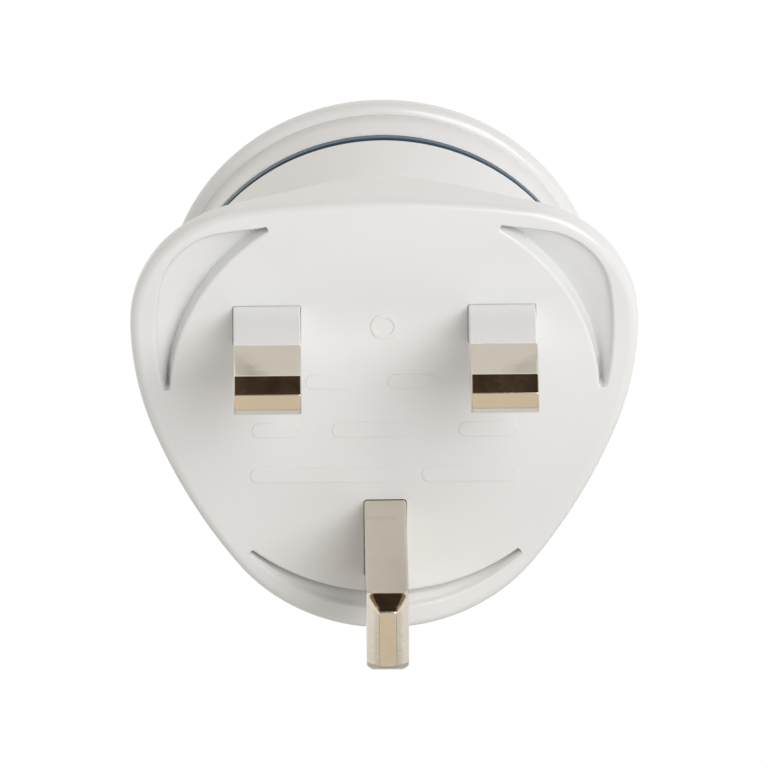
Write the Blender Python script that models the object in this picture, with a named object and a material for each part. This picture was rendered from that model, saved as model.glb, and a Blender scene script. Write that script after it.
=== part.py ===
"""Travel plug adaptor: three flat pins on a rounded-triangle flange, a round barrel behind it, and a
sprung-shuttered socket for flat angled blades on the far end.

Frame: origin on the barrel's axis, in the plane of the engagement face. The pins point to -Y, the socket
faces +Y, and +Z is up with the two sleeved pins at the top. All lengths below are in millimetres.
"""

import bpy
import bmesh
from math import acos, atan2, cos, pi, radians, sin, sqrt, tan
from mathutils import Vector

MM = 0.001
GAP = 0.15

# Pins, by the British Standard plug
PIN_X = 11.115
PIN_Z = 7.5
EARTH_Z = PIN_Z - 22.23
PIN_WIDTH, PIN_HEIGHT, PIN_LENGTH = 6.35, 4.0, 17.7
EARTH_WIDTH, EARTH_HEIGHT, EARTH_LENGTH = 4.0, 8.0, 22.73
PIN_CHAMFER_LENGTH, PIN_CHAMFER_DEPTH = 1.7, 1.16
EARTH_CHAMFER_LENGTH, EARTH_CHAMFER_DEPTH = 1.95, 1.08
SLEEVE_LENGTH = 9.0
NECK_WIDTH, NECK_HEIGHT = 5.2, 3.1
SHOULDER_Y = 1.4
TAIL_END_Y = 4.6
RIVET_HOLE_R, RIVET_HOLE_Y = 0.9, 1.8

# Flange outline: tangent arcs from the top centre round to the bottom centre
FLANGE_TOP = 20.12
FLANGE_RADII = (104.0, 11.85, 31.0, 56.0)
FLANGE_TURNS = (7.6, 90.5, 111.0, 127.5)
RIM_THICKNESS = 2.2
RIM_FRONT_ROUND = 1.0
RIM_BACK_ROUND = 0.4
FLARE_R = 5.8
FACE_FLAT_R = 18.0
SECTION_STEPS = 44

# Pockets in the flange, round the boss that carries the pins
BOSS_R = 20.35
BOSS_DRAFT = 0.3
POCKET_DEPTH = 1.8
POCKET_EDGE_DEPTH = 0.35
POCKET_EDGE_RUN = 0.2
CORNER_POCKET_RIM = 1.9
CORNER_POCKET_RADII = (FLANGE_RADII[0] - CORNER_POCKET_RIM, 7.0, 30.0)
CORNER_POCKET_TURNS = (8.75, 82.0)
CORNER_POCKET_END = 87.0
BOTTOM_POCKET_R, BOTTOM_POCKET_Z = 17.73, -4.33
POCKET_TIP_WIDTH = 0.6

# Barrel and rear housing
BARREL_R = 19.73
BORE_R = 17.9
WALL_Y = 3.0
SEAM_Y = 15.73
REAR_START_Y = 17.27
RING_R, RING_CHAMFER = 19.6, 0.6
BEAD_R, BEAD_CENTRE_R, BEAD_Y = 1.1, 19.6, 22.95
REAR_Y = BEAD_Y + BEAD_R
SKIRT_R, SKIRT_BORE_R, SKIRT_Y = 17.6, 16.4, 10.0
RECESS_R, SHELF_Y = 18.0, 21.0
EASE = 0.4
SNAP_Y, SNAP_DEPTH, SNAP_FLAT = 12.1, 0.4, 0.2

# Socket for flat blades: two angled ones at the top, an upright one at the bottom
BLADE_RADIUS, EARTH_BLADE_RADIUS = 7.92, 10.3
BLADE_X = BLADE_RADIUS * sin(radians(60))
BLADE_Z = BLADE_RADIUS * cos(radians(60))
BLADE_TILT = radians(30)
SLOT_LENGTH, SLOT_WIDTH = 7.0, 2.2
FACE_DISC_R, FACE_DISC_Y0, FACE_DISC_Y1 = 17.7, 21.3, 23.7

# Shutter: slides towards +X to clear the slots
SHUTTER_TRAVEL = 3.0
SHUTTER_Y0, SHUTTER_Y1 = 19.3, 20.9
WEDGE_Y0 = 17.9
SPRING_X0, SPRING_X1 = 3.25, 9.85
SPRING_Y, SPRING_Z = 20.1, -2.0
SPRING_R, SPRING_WIRE_R, SPRING_TURNS, TURN_POINTS = 0.8, 0.15, 5, 12

# Contacts, carrier and cover
CONTACT_Y0, CONTACT_Y1 = 4.9, 5.7
LEAF_THICKNESS, LEAF_LENGTH = 0.5, 5.0
STRIP_WIDTH = 5.2
RIVET_X, RIVET_Z, EARTH_RIVET_Z = 10.2, 7.2, -15.4
RIVET_R, RIVET_GAP = 0.7, 0.2
RIVET_HEAD = ((1.5, 0.0), (1.3, 0.5), (0.8, 0.8), (0.0, 0.9))
LEAF_PATH = ((1.15, 5.2), (1.15, 8.0), (0.62, 12.4), (0.62, 13.2), (1.25, 15.0))
STRIP_OVERHANG, EARTH_STRIP_HEIGHT, EARTH_LEAF_LENGTH, EARTH_LEAF_SHIFT = 4.6, 3.2, 6.6, -0.6
CARRIER_R, CARRIER_BORE_R, CARRIER_WALL = 16.1, 14.9, 1.4
CARRIER_Y0, CARRIER_RING_Y0, CARRIER_Y1 = 6.2, 7.2, 15.4
COVER_Y0, COVER_Y1 = 15.7, 16.9
SCREW_X, SCREW_Z = 9.0, -7.5
SCREW_R, HEAD_R, HEAD_HEIGHT = 1.1, 2.1, 1.3
SCREW_POINT = 1.2
SCREW_BOSS_R, PILOT_R, PILOT_Y = 2.5, 1.3, 2.5
CLEAR_R, COUNTERBORE_R, POST_R = 1.45, 2.7, 2.3
CARRIER_LUG_R, CARRIER_LUG_Y = 3.2, 10.6
WALL_INSET = 0.2
DRIVE_WIDTH, DRIVE_LENGTH, DRIVE_DEPTH = 0.5, 2.4, 0.7
STEP_GAP = 0.3

STEPS = 64
SMALL_STEPS = 20
PAST = 1.0


def material(name, colour, roughness, metallic=0.0):
    made = bpy.data.materials.new(name)
    made.use_nodes = True
    shader = made.node_tree.nodes["Principled BSDF"]
    shader.inputs["Base Color"].default_value = (*colour, 1.0)
    shader.inputs["Roughness"].default_value = roughness
    shader.inputs["Metallic"].default_value = metallic
    made.diffuse_color = (*colour, 1.0)
    return made


def add_object(name, bm, slot, origin=(0, 0, 0), helper=False):
    """The mesh, drawn in millimetres in the part's frame, as an object with its origin where stated."""
    bmesh.ops.recalc_face_normals(bm, faces=bm.faces)
    centre = Vector(origin)
    bmesh.ops.translate(bm, verts=bm.verts, vec=-centre)
    bmesh.ops.scale(bm, verts=bm.verts, vec=(MM, MM, MM))
    mesh = bpy.data.meshes.new(name)
    bm.to_mesh(mesh)
    bm.free()
    if slot:
        mesh.materials.append(slot)
    mesh.shade_smooth()
    mesh.set_sharp_from_angle(angle=radians(32))
    obj = bpy.data.objects.new(name, mesh)
    obj.location = centre * MM
    bpy.context.collection.objects.link(obj)
    if helper:
        obj.hide_render = True
        obj.display_type = "WIRE"
    return obj


def combine(obj, operation, *tools):
    """Boolean modifiers, one for each tool mesh."""
    for tool in tools:
        helper = add_object(f"{obj.name}_tool", tool, None, helper=True)
        modifier = obj.modifiers.new(operation.title(), "BOOLEAN")
        modifier.operation = operation
        modifier.solver = "EXACT"
        modifier.object = helper


def grid_faces(bm, rows, closed):
    """Quads between successive rows of vertices; a row of one vertex makes a fan."""
    pairs = list(zip(rows, rows[1:]))
    if closed:
        pairs.append((rows[-1], rows[0]))
    for low, high in pairs:
        count = max(len(low), len(high))
        for i in range(count):
            corners = [low[i % len(low)], low[(i + 1) % len(low)]]
            corners += [high[(i + 1) % len(high)], high[i % len(high)]]
            bm.faces.new(list(dict.fromkeys(corners)))


def turned(profile, centre=(0.0, 0.0), steps=STEPS):
    """A profile of (radius, y) turned round the Y direction through centre (x, z)."""
    bm = bmesh.new()
    rows = []
    for radius, y in profile:
        count = steps if radius > 0 else 1
        turns = [2 * pi * i / steps for i in range(count)]
        spots = [(centre[0] + radius * sin(a), y, centre[1] + radius * cos(a)) for a in turns]
        rows.append([bm.verts.new(spot) for spot in spots])
    grid_faces(bm, rows, closed=profile[0][0] > 0)
    return bm


def prism(outline, y0, y1):
    """A polygon of (x, z) points, extruded along Y."""
    bm = bmesh.new()
    face = bm.faces.new([bm.verts.new((x, y0, z)) for x, z in outline])
    extruded = bmesh.ops.extrude_face_region(bm, geom=[face])["geom"]
    moved = [item for item in extruded if isinstance(item, bmesh.types.BMVert)]
    bmesh.ops.translate(bm, verts=moved, vec=(0, y1 - y0, 0))
    return bm


def cylinder(x, z, radius, y0, y1, steps=24):
    return prism([(x + radius * sin(2 * pi * i / steps), z + radius * cos(2 * pi * i / steps))
                  for i in range(steps)], y0, y1)


def screw_cylinders(radius, y0, y1):
    """A cylinder on the axis of each pair of screws."""
    return [cylinder(side * SCREW_X, SCREW_Z, radius, y0, y1) for side in (-1, 1)]


def rectangle(x, z, width, height, tilt=0.0):
    """Corners of a rectangle; its height runs along +Z turned by tilt towards +X."""
    along = Vector((sin(tilt), cos(tilt)))
    across = Vector((cos(tilt), -sin(tilt)))
    signs = ((-1, -1), (1, -1), (1, 1), (-1, 1))
    centre = Vector((x, z))
    return [tuple(centre + across * width / 2 * a + along * height / 2 * b) for a, b in signs]


def slot_outlines(length, width):
    """The three blade slots, as rectangles."""
    return [rectangle(side * BLADE_X, BLADE_Z, width, length, -side * BLADE_TILT) for side in (-1, 1)] + [
        rectangle(0, -EARTH_BLADE_RADIUS, width, length)]


# ---- flange and barrel -------------------------------------------------------------------------------

def arc_chain(top, radii, turns):
    """(centre, radius, first turn, last turn) of tangent arcs, the first centred under (0, top)."""
    ends = [0.0, *(radians(turn) for turn in turns), pi]
    centre = Vector((0, top - radii[0]))
    arcs = [(centre, radii[0], ends[0], ends[1])]
    for i in range(1, len(radii)):
        centre = centre + Vector((sin(ends[i]), cos(ends[i]))) * (radii[i - 1] - radii[i])
        arcs.append((centre, radii[i], ends[i], ends[i + 1]))
    return arcs


def flange_arcs():
    """The flange's outline, closed by an arc that is centred on the plane of symmetry."""
    arcs = arc_chain(FLANGE_TOP, FLANGE_RADII, FLANGE_TURNS)
    centre, radius, _, turn = arcs[-1]
    reach = -centre.x / sin(turn)
    centre = centre + Vector((sin(turn), cos(turn))) * reach
    return [*arcs, (centre, radius - reach, turn, pi)]


FLANGE_ARCS = flange_arcs()
CORNER_POCKET_ARCS = arc_chain(FLANGE_TOP - CORNER_POCKET_RIM, CORNER_POCKET_RADII, CORNER_POCKET_TURNS)


def ray_to_circle(phi, centre, radius):
    """Distance from the barrel's axis to a circle, in the direction phi; None where it misses."""
    along = sin(phi) * centre.x + cos(phi) * centre.y
    inside = along * along - centre.length_squared + radius * radius
    return along + sqrt(inside) if inside > 0 else None


def outline_radius(phi, arcs):
    """Distance from the barrel's axis to a chain of arcs, in the direction phi."""
    for centre, radius, first, last in arcs:
        reach = ray_to_circle(phi, centre, radius)
        if reach is None:
            continue
        turn = atan2(reach * sin(phi) - centre.x, reach * cos(phi) - centre.y) % (2 * pi)
        if first <= turn <= last:
            return reach
    centre, radius = arcs[0][:2] if phi < 1 else arcs[-1][:2]
    return ray_to_circle(phi, centre, radius)


def rim_radius(phi):
    return outline_radius(abs(phi), FLANGE_ARCS)


def pocket_radius(phi):
    """Outer edge of the pocket in the direction phi, or None on the lands between the pockets."""
    if abs(phi) < radians(CORNER_POCKET_END):
        edge = outline_radius(abs(phi), CORNER_POCKET_ARCS)
    else:
        edge = ray_to_circle(phi, Vector((0, BOTTOM_POCKET_Z)), BOTTOM_POCKET_R)
    return edge if edge > BOSS_R + POCKET_TIP_WIDTH else None


def back_y(radius):
    """Y of the flange's back, which flares into the barrel."""
    short = max(0.0, FLARE_R - (radius - BARREL_R))
    return RIM_THICKNESS + FLARE_R - sqrt(FLARE_R ** 2 - short ** 2)


def base_section(phi):
    """The base's section in the direction phi, from the engagement face round to the bore's floor."""
    rim = rim_radius(phi)
    edge = pocket_radius(phi)
    flat = rim - RIM_FRONT_ROUND
    outer = edge or BOSS_R + POCKET_TIP_WIDTH
    spots = [BOSS_R, BOSS_R + BOSS_DRAFT, outer - POCKET_EDGE_RUN, outer]
    depths = [0.0, POCKET_DEPTH, POCKET_EDGE_DEPTH, 0.0]
    if not edge:
        share = min(1.0, (flat - FACE_FLAT_R) / (outer + POCKET_EDGE_RUN - FACE_FLAT_R))
        spots = [FACE_FLAT_R + (spot - FACE_FLAT_R) * share for spot in spots]
        depths = [0.0] * len(spots)
    section = [(FACE_FLAT_R, 0.0), *zip(spots, depths), (flat, 0.0)]
    section += [(rim - RIM_FRONT_ROUND * (1 - sin(radians(a))), RIM_FRONT_ROUND * (1 - cos(radians(a))))
                for a in (45, 90)]
    back = min(RIM_BACK_ROUND, 0.3 * (rim - BARREL_R))
    section += [(rim, back_y(rim - back) - back), (rim - back, back_y(rim - back))]
    sweep = acos(max(0.0, min(1.0, (BARREL_R + FLARE_R - rim + back) / FLARE_R)))
    for share in (0.75, 0.5, 0.25, 0.0):
        turn = sweep * share
        section.append((BARREL_R + FLARE_R * (1 - cos(turn)), RIM_THICKNESS + FLARE_R * (1 - sin(turn))))
    section += [(BARREL_R, SEAM_Y), (BORE_R, SEAM_Y)]
    groove = SNAP_FLAT + SNAP_DEPTH
    section += [(BORE_R, SNAP_Y + groove + GAP), (BORE_R + SNAP_DEPTH, SNAP_Y + groove)]
    section += [(BORE_R + SNAP_DEPTH, SNAP_Y - groove), (BORE_R, SNAP_Y - groove - GAP)]
    section.append((BORE_R, WALL_Y))
    return section


def section_turns():
    """Directions of the sections, in radians: even steps, and a close pair at each end of a pocket."""
    turns = [180 * i / SECTION_STEPS for i in range(SECTION_STEPS + 1)]
    fine = [i / 20 for i in range(180 * 20 + 1)]
    for low, high in zip(fine, fine[1:]):
        if bool(pocket_radius(radians(low))) != bool(pocket_radius(radians(high))):
            turns += [low - 0.1, high + 0.1]
    half = sorted(turns)
    return [radians(turn) for turn in half] + [-radians(turn) for turn in half[-2:0:-1]]


def make_base(slot):
    bm = bmesh.new()
    turns = section_turns()
    sections = [base_section(phi) for phi in turns]
    rows = []
    for i in range(len(sections[0])):
        rows.append([bm.verts.new((section[i][0] * sin(phi), section[i][1], section[i][0] * cos(phi)))
                     for phi, section in zip(turns, sections)])
    grid_faces(bm, rows, closed=False)
    bm.faces.new(rows[0])
    bm.faces.new(rows[-1])
    base = add_object("plug_base", bm, slot)
    bosses = screw_cylinders(SCREW_BOSS_R, WALL_Y - PAST, CARRIER_Y0 - STEP_GAP)
    combine(base, "UNION", *bosses)
    cuts = screw_cylinders(PILOT_R, PILOT_Y, CARRIER_Y0 + PAST)
    step = SHOULDER_Y + GAP
    for side in (-1, 1):
        x = side * PIN_X
        cuts.append(prism(rectangle(x, PIN_Z, PIN_WIDTH + 2 * GAP, PIN_HEIGHT + 2 * GAP), -PAST, step))
        cuts.append(prism(rectangle(x, PIN_Z, NECK_WIDTH + 2 * GAP, NECK_HEIGHT + 2 * GAP), 0, WALL_Y + PAST))
    cuts.append(prism(rectangle(0, EARTH_Z, EARTH_WIDTH + 2 * GAP, EARTH_HEIGHT + 2 * GAP), -PAST, step))
    tail = rectangle(0, EARTH_RIVET_Z, EARTH_WIDTH + 2 * GAP, NECK_HEIGHT + 2 * GAP)
    cuts.append(prism(tail, 0, WALL_Y + PAST))
    combine(base, "DIFFERENCE", *cuts)


# ---- pins --------------------------------------------------------------------------------------------

def pin_body(x, z, width, height, start_y, end_y, chamfer_length, chamfer_depth, side_chamfer):
    """A flat pin from its tip at start_y back to end_y, with its tip chamfered."""
    tip_width = width - 2 * chamfer_depth if side_chamfer else width
    bm = bmesh.new()
    rows = []
    for y, w, h in ((start_y, tip_width, height - 2 * chamfer_depth),
                    (start_y + chamfer_length, width, height), (end_y, width, height)):
        rows.append([bm.verts.new((u, y, v)) for u, v in rectangle(x, z, w, h)])
    grid_faces(bm, rows, closed=False)
    bm.faces.new(rows[0])
    bm.faces.new(rows[-1])
    return bm


def make_pins(metal, plastic):
    for name, side in (("line", 1), ("neutral", -1)):
        x = side * PIN_X
        bm = pin_body(x, PIN_Z, PIN_WIDTH, PIN_HEIGHT, -PIN_LENGTH, -SLEEVE_LENGTH,
                      PIN_CHAMFER_LENGTH, PIN_CHAMFER_DEPTH, False)
        pin = add_object(f"{name}_pin", bm, metal)
        neck = prism(rectangle(x, PIN_Z, NECK_WIDTH, NECK_HEIGHT), -SLEEVE_LENGTH - PAST, TAIL_END_Y)
        combine(pin, "UNION", neck)
        hole = cylinder(side * RIVET_X, RIVET_Z, RIVET_HOLE_R, RIVET_HOLE_Y, TAIL_END_Y + PAST)
        combine(pin, "DIFFERENCE", hole)
        tube = prism(rectangle(x, PIN_Z, PIN_WIDTH, PIN_HEIGHT), GAP - SLEEVE_LENGTH, SHOULDER_Y)
        sleeve = add_object(f"{name}_pin_sleeve", tube, plastic)
        bore = prism(rectangle(x, PIN_Z, NECK_WIDTH + 2 * GAP, NECK_HEIGHT + 2 * GAP), -SLEEVE_LENGTH - PAST,
                     SHOULDER_Y + PAST)
        combine(sleeve, "DIFFERENCE", bore)
    bm = pin_body(0, EARTH_Z, EARTH_WIDTH, EARTH_HEIGHT, -EARTH_LENGTH, SHOULDER_Y,
                  EARTH_CHAMFER_LENGTH, EARTH_CHAMFER_DEPTH, True)
    pin = add_object("earth_pin", bm, metal)
    combine(pin, "UNION", prism(rectangle(0, EARTH_RIVET_Z, EARTH_WIDTH, NECK_HEIGHT), 0, TAIL_END_Y))
    hole = cylinder(0, EARTH_RIVET_Z, RIVET_HOLE_R, RIVET_HOLE_Y, TAIL_END_Y + PAST)
    combine(pin, "DIFFERENCE", hole)


def make_rivets(slot):
    under = CONTACT_Y1 + RIVET_GAP
    profile = [(0, RIVET_HOLE_Y + RIVET_GAP), (RIVET_R, RIVET_HOLE_Y + RIVET_GAP), (RIVET_R, under)]
    profile += [(radius, under + rise) for radius, rise in RIVET_HEAD]
    places = {"line": (RIVET_X, RIVET_Z), "neutral": (-RIVET_X, RIVET_Z), "earth": (0, EARTH_RIVET_Z)}
    for name, centre in places.items():
        add_object(f"{name}_rivet", turned(profile, centre, SMALL_STEPS), slot)


# ---- contacts ----------------------------------------------------------------------------------------

def leaf(x, z, tilt, side, length, shift=0.0):
    """One bowed leaf of a contact, beside a blade centred on (x, z) whose length runs along tilt."""
    path = [*LEAF_PATH, *((out + LEAF_THICKNESS, y) for out, y in reversed(LEAF_PATH))]
    along = Vector((sin(tilt), cos(tilt)))
    across = Vector((cos(tilt), -sin(tilt))) * side
    bm = bmesh.new()
    rows = []
    for end in (shift - length / 2, shift + length / 2):
        spots = [(Vector((x, z)) + along * end + across * out, y) for out, y in path]
        rows.append([bm.verts.new((spot.x, y, spot.y)) for spot, y in spots])
    grid_faces(bm, rows, closed=False)
    bm.faces.new(rows[0])
    bm.faces.new(rows[1])
    return bm


def make_contacts(slot):
    for name, side in (("line", 1), ("neutral", -1)):
        start, end = Vector((side * BLADE_X, BLADE_Z)), Vector((side * RIVET_X, RIVET_Z))
        middle, run = (start + end) / 2, end - start
        strip = rectangle(middle.x, middle.y, STRIP_WIDTH, run.length + STRIP_OVERHANG, atan2(run.x, run.y))
        contact = add_object(f"{name}_contact", prism(strip, CONTACT_Y0, CONTACT_Y1), slot)
        leaves = [leaf(start.x, start.y, -side * BLADE_TILT, way, LEAF_LENGTH) for way in (-1, 1)]
        combine(contact, "UNION", *leaves)
        hole = cylinder(end.x, end.y, RIVET_HOLE_R, CONTACT_Y0 - PAST, CONTACT_Y1 + PAST)
        combine(contact, "DIFFERENCE", hole)
    strip = rectangle(0, EARTH_RIVET_Z, STRIP_WIDTH, EARTH_STRIP_HEIGHT)
    contact = add_object("earth_contact", prism(strip, CONTACT_Y0, CONTACT_Y1), slot)
    leaves = [leaf(0, -EARTH_BLADE_RADIUS, 0, way, EARTH_LEAF_LENGTH, EARTH_LEAF_SHIFT) for way in (-1, 1)]
    combine(contact, "UNION", *leaves)
    hole = cylinder(0, EARTH_RIVET_Z, RIVET_HOLE_R, CONTACT_Y0 - PAST, CONTACT_Y1 + PAST)
    combine(contact, "DIFFERENCE", hole)


def make_carrier(slot):
    """Insulating ring with three radial walls, which part the contacts."""
    ring = [(CARRIER_R, CARRIER_RING_Y0), (CARRIER_R, CARRIER_Y1)]
    ring += [(CARRIER_BORE_R, CARRIER_Y1), (CARRIER_BORE_R, CARRIER_RING_Y0)]
    carrier = add_object("contact_carrier", turned(ring), slot)
    reach = (CARRIER_R + CARRIER_BORE_R) / 2
    tools = []
    for tilt in (0.0, atan2(SCREW_X, SCREW_Z), atan2(-SCREW_X, SCREW_Z)):
        middle = (sin(tilt) * reach / 2, cos(tilt) * reach / 2)
        wall = rectangle(*middle, CARRIER_WALL, reach + CARRIER_WALL / 2, tilt)
        tools.append(prism(wall, CARRIER_RING_Y0 + WALL_INSET, CARRIER_Y1 - WALL_INSET))
    tools += screw_cylinders(CARRIER_LUG_R, CARRIER_Y0, CARRIER_LUG_Y)
    combine(carrier, "UNION", *tools)
    cuts = screw_cylinders(CLEAR_R, CARRIER_Y0 - PAST, CARRIER_LUG_Y + PAST)
    cuts += screw_cylinders(COUNTERBORE_R, CARRIER_LUG_Y, CARRIER_Y1 + PAST)
    combine(carrier, "DIFFERENCE", *cuts)


# ---- housing and socket ------------------------------------------------------------------------------

def make_housing(slot, accent):
    meet = -acos((BARREL_R - BEAD_CENTRE_R) / BEAD_R)
    bead = [meet + (pi / 2 - meet) * i / 8 for i in range(9)]
    profile = [(BARREL_R, REAR_START_Y)]
    profile += [(BEAD_CENTRE_R + BEAD_R * cos(a), BEAD_Y + BEAD_R * sin(a)) for a in bead]
    profile += [(RECESS_R + EASE, REAR_Y), (RECESS_R, REAR_Y - EASE)]
    profile += [(RECESS_R, SHELF_Y), (SKIRT_BORE_R, SHELF_Y)]
    profile += [(SKIRT_BORE_R, SKIRT_Y), (SKIRT_R - EASE, SKIRT_Y), (SKIRT_R, SKIRT_Y + EASE)]
    bump = SNAP_DEPTH / 2
    profile += [(SKIRT_R, SNAP_Y - SNAP_FLAT - bump), (SKIRT_R + SNAP_DEPTH, SNAP_Y - SNAP_FLAT)]
    profile += [(SKIRT_R + SNAP_DEPTH, SNAP_Y + SNAP_FLAT), (SKIRT_R, SNAP_Y + SNAP_FLAT + bump)]
    profile.append((SKIRT_R, REAR_START_Y))
    add_object("rear_housing", turned(profile), slot)
    front, back = SEAM_Y + GAP, REAR_START_Y - GAP
    ring = [(RING_R - RING_CHAMFER, front), (RING_R, front + RING_CHAMFER), (RING_R, back)]
    ring += [(BORE_R, back), (BORE_R, front)]
    add_object("accent_ring", turned(ring), accent)


def make_socket_face(slot):
    disc = add_object("socket_face", cylinder(0, 0, FACE_DISC_R, FACE_DISC_Y0, FACE_DISC_Y1, STEPS), slot)
    posts = screw_cylinders(POST_R, COVER_Y1 + STEP_GAP, FACE_DISC_Y0 + PAST)
    combine(disc, "UNION", *posts)
    slots = slot_outlines(SLOT_LENGTH, SLOT_WIDTH)
    cuts = [prism(outline, FACE_DISC_Y0 - PAST, FACE_DISC_Y1 + PAST) for outline in slots]
    cuts += screw_cylinders(PILOT_R, COVER_Y0, SHELF_Y)
    combine(disc, "DIFFERENCE", *cuts)


def make_shutter(plastic):
    """Sliding plate that covers the angled slots, and a stem with a sloping wedge under the upright slot."""
    half = SLOT_WIDTH / 2 / cos(BLADE_TILT)
    bottom, waist, top = -4.2, 0.2, 7.9
    left = [-BLADE_X + (z - BLADE_Z) * tan(BLADE_TILT) - half - GAP for z in (waist, top)]
    plate = [(left[0], waist), (-3.0, waist), (-3.0, bottom)]
    plate += [(12.0, bottom), (12.0, 0.5), (7.6, top), (left[1], top)]
    axis_point = (0, SPRING_Y, 0)
    shutter = add_object("shutter", prism(plate, SHUTTER_Y0, SHUTTER_Y1), plastic, axis_point)
    wedge = bmesh.new()
    outline = ((-2.1, WEDGE_Y0), (1.8, WEDGE_Y0), (1.8, SHUTTER_Y1), (0.9, SHUTTER_Y1))
    rows = [[wedge.verts.new((x, y, z)) for x, y in outline] for z in (-13.8, -4.0)]
    grid_faces(wedge, rows, closed=False)
    wedge.faces.new(rows[0])
    wedge.faces.new(rows[1])
    combine(shutter, "UNION", wedge)
    window_centre = (BLADE_X - SHUTTER_TRAVEL, BLADE_Z)
    window = rectangle(*window_centre, SLOT_WIDTH + 2 * GAP, SLOT_LENGTH + 2 * GAP, -BLADE_TILT)
    pocket = rectangle(7.05, SPRING_Z, 8.1, 2.4)
    cuts = [prism(outline, SHUTTER_Y0 - PAST, SHUTTER_Y1 + PAST) for outline in (window, pocket)]
    combine(shutter, "DIFFERENCE", *cuts)


def make_spring(wire):
    """Coil between the shutter and its post, along X."""
    curve = bpy.data.curves.new("shutter_spring", "CURVE")
    curve.dimensions = "3D"
    curve.bevel_depth = SPRING_WIRE_R * MM
    curve.bevel_resolution = 1
    curve.use_fill_caps = True
    count = SPRING_TURNS * TURN_POINTS + 1
    spline = curve.splines.new("POLY")
    spline.points.add(count - 1)
    for i, point in enumerate(spline.points):
        turn = 2 * pi * i / TURN_POINTS
        x = (SPRING_X1 - SPRING_X0) * i / (count - 1)
        point.co = (x * MM, SPRING_R * cos(turn) * MM, SPRING_R * sin(turn) * MM, 1.0)
    curve.materials.append(wire)
    spring = bpy.data.objects.new("shutter_spring", curve)
    spring.location = (SPRING_X0 * MM, SPRING_Y * MM, SPRING_Z * MM)
    bpy.context.collection.objects.link(spring)


def make_cover(slot):
    """Disc that holds the shutter in, with a pedestal under its plate and a post for its spring."""
    cover = add_object("shutter_cover", cylinder(0, 0, CARRIER_R, COVER_Y0, COVER_Y1, STEPS), slot)
    middle_y = (COVER_Y0 + COVER_Y1) / 2
    pedestal = prism(rectangle(0, 4.2, 2.0, 6.4), middle_y, SHUTTER_Y0 - STEP_GAP)
    post = prism(rectangle(10.45, SPRING_Z, 0.8, 1.9), middle_y, SHUTTER_Y1 - 0.1)
    combine(cover, "UNION", pedestal, post)
    slots = slot_outlines(SLOT_LENGTH + 2 * STEP_GAP, SLOT_WIDTH + 2 * STEP_GAP)
    cuts = [prism(outline, COVER_Y0 - PAST, COVER_Y1 + PAST) for outline in slots]
    cuts += screw_cylinders(CLEAR_R, COVER_Y0 - PAST, COVER_Y1 + PAST)
    combine(cover, "DIFFERENCE", *cuts)


def make_screw(name, x, head_y, way, tip_y, slot):
    """A pan-head screw; way is the direction from its tip to its head along Y."""
    under = head_y - HEAD_HEIGHT * way
    profile = [(0, tip_y), (0.5, tip_y), (SCREW_R, tip_y + SCREW_POINT * way)]
    profile += [(SCREW_R, under), (HEAD_R, under), (HEAD_R, head_y - 0.5 * way)]
    profile += [(HEAD_R - EASE, head_y - 0.1 * way), (1.2, head_y), (0, head_y)]
    screw = add_object(name, turned(profile, (x, SCREW_Z), SMALL_STEPS), slot)
    for tilt in (0.0, pi / 2):
        bar = rectangle(x, SCREW_Z, DRIVE_WIDTH, DRIVE_LENGTH, tilt)
        ends = sorted((head_y - DRIVE_DEPTH * way, head_y + PAST * way))
        combine(screw, "DIFFERENCE", prism(bar, *ends))


def main():
    for obj in list(bpy.data.objects):
        bpy.data.objects.remove(obj, do_unlink=True)
    white = material("shell_white", (0.78, 0.77, 0.75), 0.28)
    sleeve_white = material("sleeve_white", (0.74, 0.75, 0.76), 0.35)
    blue = material("accent_blue", (0.03, 0.09, 0.18), 0.4)
    nickel = material("nickel_plate", (0.66, 0.61, 0.54), 0.22, 1.0)
    bronze = material("contact_bronze", (0.72, 0.50, 0.28), 0.35, 1.0)
    steel = material("zinc_steel", (0.62, 0.63, 0.65), 0.35, 1.0)
    carrier_grey = material("carrier_grey", (0.42, 0.43, 0.44), 0.5)
    ivory = material("shutter_ivory", (0.62, 0.60, 0.55), 0.4)
    make_base(white)
    make_housing(white, blue)
    make_socket_face(white)
    make_pins(nickel, sleeve_white)
    make_rivets(steel)
    make_contacts(bronze)
    make_carrier(carrier_grey)
    make_shutter(ivory)
    make_spring(steel)
    make_cover(carrier_grey)
    for side, word in ((-1, "left"), (1, "right")):
        make_screw(f"carrier_screw_{word}", side * SCREW_X, 12.2, 1, 3.6, steel)
        make_screw(f"cover_screw_{word}", side * SCREW_X, 14.1, -1, 20.4, steel)


main()
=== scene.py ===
"""The looks of the travel plug adaptor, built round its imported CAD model.

Pieces are drawn in millimetres in the CAD's own frame.
The pins point to -Y, the socket faces +Y and +Z is up.
"""

from math import acos, atan2, cos, degrees, pi, radians, sin, sqrt, tan

import bmesh
import bpy
from mathutils import Matrix, Vector


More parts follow.
